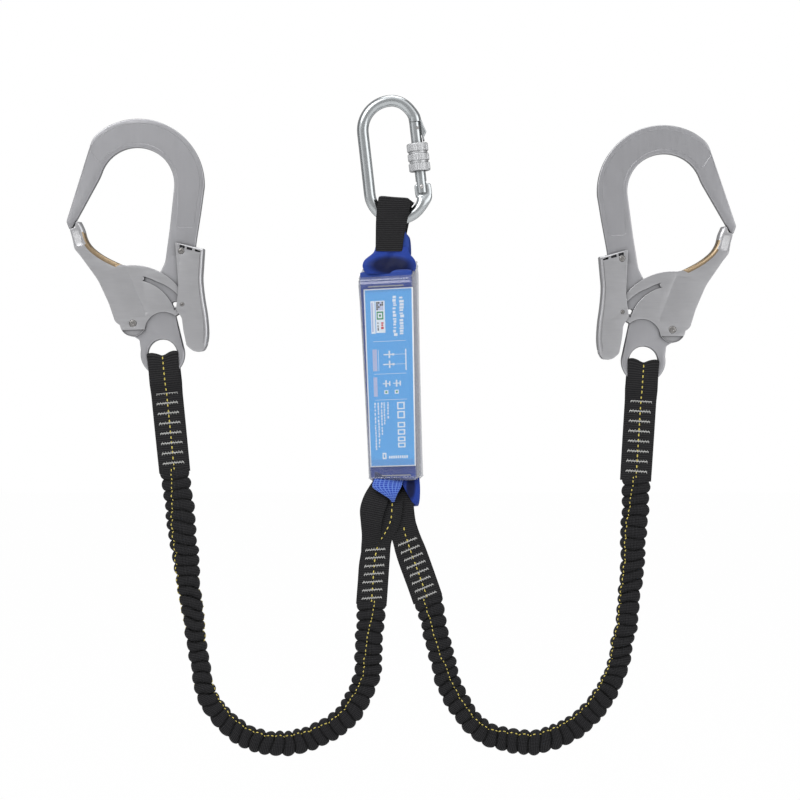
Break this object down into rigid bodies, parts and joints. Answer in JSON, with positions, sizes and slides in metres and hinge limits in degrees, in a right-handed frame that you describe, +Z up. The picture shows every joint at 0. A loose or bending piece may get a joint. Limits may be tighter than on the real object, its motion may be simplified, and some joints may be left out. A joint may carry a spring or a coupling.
{
  "type": "shock absorbing lanyard",
  "caption": "Fall-arrest lanyard: screw-gate oval carabiner, covered tear-webbing energy absorber, and elasticated legs that end in self-closing scaffold hooks.",
  "frame": {"origin": "centre of the inside of the carabiner's top bow, where the harness ring sits", "axes": "+Z up, the lanyard hangs in the XZ plane; +X to the right seen from the label's side, which faces -Y"},
  "size_m": [0.5549, 0.0362, 0.5506],
  "materials": {
    "zinc_steel": "bright zinc plated, polished",
    "hook_steel": "satin polished forged and pressed steel",
    "pin_steel": "turned and riveted steel",
    "spring_steel": "drawn spring wire",
    "clear_pvc": "clear soft film with welded edges",
    "label_card": "printed card, light blue with a white border",
    "blue_webbing": "woven polyamide webbing",
    "black_webbing": "woven polyester webbing, ribbed",
    "elastic_webbing": "gathered tubular webbing",
    "elastic_core": "elastic band",
    "white_thread": "bar-tack thread"
  },
  "bodies": {
    "carabiner": {"carabiner_frame": "zinc_steel", "carabiner_hinge_rivet": "pin_steel"},
    "carabiner_gate_body": {"carabiner_gate": "zinc_steel", "gate_latch_pin": "pin_steel", "gate_plunger": "pin_steel", "gate_return_spring": "spring_steel"},
    "lock_sleeve": {"screw_lock_sleeve": "zinc_steel"},
    "absorber": {"absorber_cover": "clear_pvc", "absorber_label": "label_card", "tear_webbing": "blue_webbing", "top_loop": "blue_webbing", "top_loop_wear_sleeve": "black_webbing", "bottom_loop": "blue_webbing", "absorber_bar_tacks": "white_thread", "left_hitch_loop": "black_webbing", "right_hitch_loop": "black_webbing"},
    "left_leg_upper": {"left_upper_strap": "black_webbing", "left_upper_bar_tacks": "white_thread", "left_elastic_jacket_upper": "elastic_webbing", "left_elastic_core_upper": "elastic_core"},
    "left_leg_middle": {"left_elastic_jacket_middle": "elastic_webbing", "left_elastic_core_middle": "elastic_core"},
    "left_leg_lower": {"left_elastic_jacket_lower": "elastic_webbing", "left_elastic_core_lower": "elastic_core", "left_hook_strap": "black_webbing", "left_hook_bar_tacks": "white_thread"},
    "left_hook": {"left_hook_body": "hook_steel", "left_gate_rivet": "pin_steel", "left_gate_spring": "spring_steel", "left_lever_rivet": "pin_steel", "left_lever_spring": "spring_steel"},
    "left_hook_gate_body": {"left_hook_gate": "hook_steel"},
    "left_lock_lever_body": {"left_lock_lever": "hook_steel", "left_lock_pin": "pin_steel"},
    "right_leg_upper": {"right_upper_strap": "black_webbing", "right_upper_bar_tacks": "white_thread", "right_elastic_jacket_upper": "elastic_webbing", "right_elastic_core_upper": "elastic_core"},
    "right_leg_middle": {"right_elastic_jacket_middle": "elastic_webbing", "right_elastic_core_middle": "elastic_core"},
    "right_leg_lower": {"right_elastic_jacket_lower": "elastic_webbing", "right_elastic_core_lower": "elastic_core", "right_hook_strap": "black_webbing", "right_hook_bar_tacks": "white_thread"},
    "right_hook": {"right_hook_body": "hook_steel", "right_gate_rivet": "pin_steel", "right_gate_spring": "spring_steel", "right_lever_rivet": "pin_steel", "right_lever_spring": "spring_steel"},
    "right_hook_gate_body": {"right_hook_gate": "hook_steel"},
    "right_lock_lever_body": {"right_lock_lever": "hook_steel", "right_lock_pin": "pin_steel"}
  },
  "joints": [
    {"name": "absorber_swing", "type": "hinge", "parent": "carabiner", "child": "absorber", "pos_m": [0.00439, 0, -0.05083], "axis": [0, -1, 0], "range_deg": [-15, 8], "stiffness_Nm_per_rad": 30},
    {"name": "carabiner_gate_hinge", "type": "hinge", "parent": "carabiner", "child": "carabiner_gate_body", "pos_m": [0.02472, 0, -0.04724], "axis": [0, -1, 0], "range_deg": [0, 25], "stiffness_Nm_per_rad": 0.02, "springref_deg": -85.94},
    {"name": "lock_sleeve_slide", "type": "slide", "parent": "carabiner_gate_body", "child": "lock_sleeve", "axis": [0.1115, 0, -0.9938], "range_m": [-0.0043, 0.008], "stiffness_N_per_m": 200},
    {"name": "left_leg_swing", "type": "hinge", "parent": "absorber", "child": "left_leg_upper", "pos_m": [-0.014, 0, -0.352], "axis": [0, -1, 0], "range_deg": [-5, 8], "stiffness_Nm_per_rad": 100},
    {"name": "left_leg_flex_1", "type": "hinge", "parent": "left_leg_upper", "child": "left_leg_middle", "pos_m": [-0.04283, 0, -0.49278], "axis": [0, -1, 0], "range_deg": [-5, 20], "stiffness_Nm_per_rad": 100},
    {"name": "left_leg_flex_2", "type": "hinge", "parent": "left_leg_middle", "child": "left_leg_lower", "pos_m": [-0.13335, 0, -0.49436], "axis": [0, -1, 0], "range_deg": [-5, 20], "stiffness_Nm_per_rad": 60},
    {"name": "left_hook_swing", "type": "hinge", "parent": "left_leg_lower", "child": "left_hook", "pos_m": [-0.1901, 0, -0.1859], "axis": [0, 1, 0], "range_deg": [-30, 35], "stiffness_Nm_per_rad": 12},
    {"name": "left_hook_gate_hinge", "type": "hinge", "parent": "left_hook", "child": "left_hook_gate_body", "pos_m": [-0.2144, 0, -0.1607], "axis": [0, 1, 0], "range_deg": [0, 35], "stiffness_Nm_per_rad": 0.05, "springref_deg": -85.94},
    {"name": "left_lock_lever_hinge", "type": "hinge", "parent": "left_hook", "child": "left_lock_lever_body", "pos_m": [-0.1742, 0, -0.1009], "axis": [0, 1, 0], "range_deg": [0, 8.7], "stiffness_Nm_per_rad": 0.05, "springref_deg": -57.3},
    {"name": "right_leg_swing", "type": "hinge", "parent": "absorber", "child": "right_leg_upper", "pos_m": [0.0167, 0, -0.352], "axis": [0, 1, 0], "range_deg": [-5, 8], "stiffness_Nm_per_rad": 100},
    {"name": "right_leg_flex_1", "type": "hinge", "parent": "right_leg_upper", "child": "right_leg_middle", "pos_m": [0.06615, 0, -0.48798], "axis": [0, 1, 0], "range_deg": [-5, 20], "stiffness_Nm_per_rad": 100},
    {"name": "right_leg_flex_2", "type": "hinge", "parent": "right_leg_middle", "child": "right_leg_lower", "pos_m": [0.17348, 0, -0.48235], "axis": [0, 1, 0], "range_deg": [-5, 20], "stiffness_Nm_per_rad": 60},
    {"name": "right_hook_swing", "type": "hinge", "parent": "right_leg_lower", "child": "right_hook", "pos_m": [0.2083, 0, -0.1917], "axis": [0, -1, 0], "range_deg": [-30, 35], "stiffness_Nm_per_rad": 12},
    {"name": "right_hook_gate_hinge", "type": "hinge", "parent": "right_hook", "child": "right_hook_gate_body", "pos_m": [0.23193, 0, -0.16587], "axis": [0, -1, 0], "range_deg": [0, 35], "stiffness_Nm_per_rad": 0.05, "springref_deg": -85.94},
    {"name": "right_lock_lever_hinge", "type": "hinge", "parent": "right_hook", "child": "right_lock_lever_body", "pos_m": [0.19018, 0, -0.10715], "axis": [0, -1, 0], "range_deg": [0, 8.7], "stiffness_Nm_per_rad": 0.05, "springref_deg": -57.3}
  ],
  "couplings": [
    {"joint": "left_lock_lever_hinge", "follows": "left_hook_gate_hinge", "ratio": 0.24571},
    {"joint": "right_lock_lever_hinge", "follows": "right_hook_gate_hinge", "ratio": 0.24571}
  ]
}
